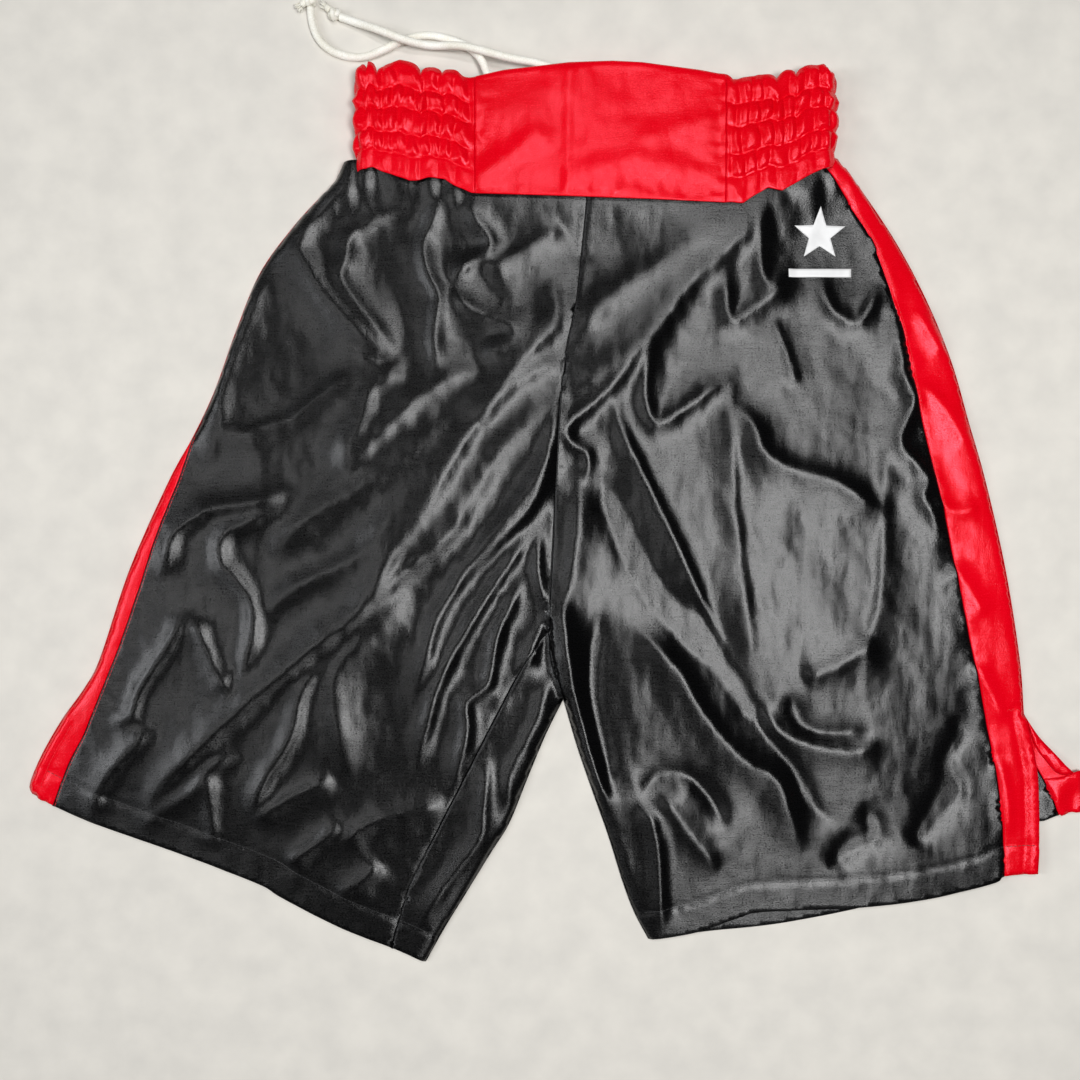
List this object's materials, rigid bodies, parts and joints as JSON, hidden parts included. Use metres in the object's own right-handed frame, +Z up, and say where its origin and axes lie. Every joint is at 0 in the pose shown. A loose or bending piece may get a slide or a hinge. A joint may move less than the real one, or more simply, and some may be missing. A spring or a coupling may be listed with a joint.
{
  "type": "boxing shorts",
  "caption": "Wide satin boxing shorts lying flat, with a gathered waistband, a drawcord, side stripes and open vents at the hems.",
  "frame": {"origin": "on the surface that the shorts lie on, at the centre of the garment's outline without its drawcord", "axes": "+X towards the wearer's left side, +Y towards the waistband, +Z up out of the front"},
  "size_m": [0.742, 0.6819, 0.0198],
  "materials": {
    "red_satin": "satin weave polyester, bright red, soft pink sheen along folds",
    "black_satin": "satin weave polyester, black, broad grey sheen with fine crosswise grain",
    "ivory_cord": "tubular braided cord, ivory, matt",
    "white_elastic": "woven wide elastic and stiff interfacing, white, matt",
    "red_thread": "polyester sewing thread, red",
    "black_thread": "polyester sewing thread, black",
    "white_film": "thin heat-pressed film, white, slightly glossy",
    "label_ribbon": "woven ribbon label, white, blank"
  },
  "bodies": {
    "hips": {"front_right_panel_upper": "black_satin", "front_left_panel_upper": "black_satin", "right_stripe_front_upper": "red_satin", "left_stripe_front_upper": "red_satin", "right_stripe_back_upper": "red_satin", "left_stripe_back_upper": "red_satin", "back_right_panel_upper": "black_satin", "back_left_panel_upper": "black_satin", "centre_front_seam": "black_thread", "centre_back_seam": "black_thread", "left_stripe_seam_upper": "black_thread", "right_stripe_seam_upper": "black_thread", "right_inseam_upper": "black_thread", "left_side_seam": "red_thread", "right_side_seam": "red_thread", "crotch_bartack": "black_thread", "thigh_emblem": "white_film"},
    "right_leg": {"front_right_panel_lower": "black_satin", "right_stripe_front_lower": "red_satin", "right_stripe_back_lower": "red_satin", "back_right_panel_lower": "black_satin", "right_stripe_seam_lower": "black_thread", "right_inseam_lower": "black_thread", "right_hem_stitching": "black_thread", "right_vent_stitching": "red_thread", "right_vent_bartack": "red_thread"},
    "left_leg": {"front_left_panel_lower": "black_satin", "left_stripe_front_lower": "red_satin", "left_stripe_back_lower": "red_satin", "back_left_panel_lower": "black_satin", "left_stripe_seam_lower": "black_thread", "left_inseam": "black_thread", "left_hem_stitching": "black_thread", "left_vent_stitching": "red_thread", "left_vent_bartack": "red_thread"},
    "waistband": {"waistband_front_panel": "red_satin", "waistband_gathered_cover": "red_satin", "waistband_elastic": "white_elastic", "front_interfacing": "white_elastic", "shirring_stitches": "red_thread", "elastic_end_stitches": "red_thread", "waist_seam_stitching": "red_thread", "care_label": "label_ribbon", "waistband_lining": "red_satin", "left_buttonhole": "red_thread", "right_buttonhole": "red_thread", "drawcord_in_casing": "ivory_cord"},
    "drawcord": {"drawcord_left_tail": "ivory_cord", "drawcord_right_tail": "ivory_cord", "left_tail_knot": "ivory_cord", "right_tail_knot": "ivory_cord", "left_tail_tip": "ivory_cord", "right_tail_tip": "ivory_cord"}
  },
  "joints": [
    {"name": "right_leg_fold", "type": "hinge", "parent": "hips", "child": "right_leg", "pos_m": [-0.171, -0.135, 0.014], "axis": [-1, 0, 0], "range_deg": [0, 180]},
    {"name": "left_leg_fold", "type": "hinge", "parent": "hips", "child": "left_leg", "pos_m": [0.168, -0.135, 0.014], "axis": [-1, 0, 0], "range_deg": [0, 180]},
    {"name": "waistband_fold", "type": "hinge", "parent": "hips", "child": "waistband", "pos_m": [0.028, 0.22, 0.017], "axis": [1, 0, 0], "range_deg": [0, 180]},
    {"name": "drawcord_pull", "type": "slide", "parent": "waistband", "child": "drawcord", "axis": [-0.5, 0.866, 0], "range_m": [0, 0.04]}
  ]
}
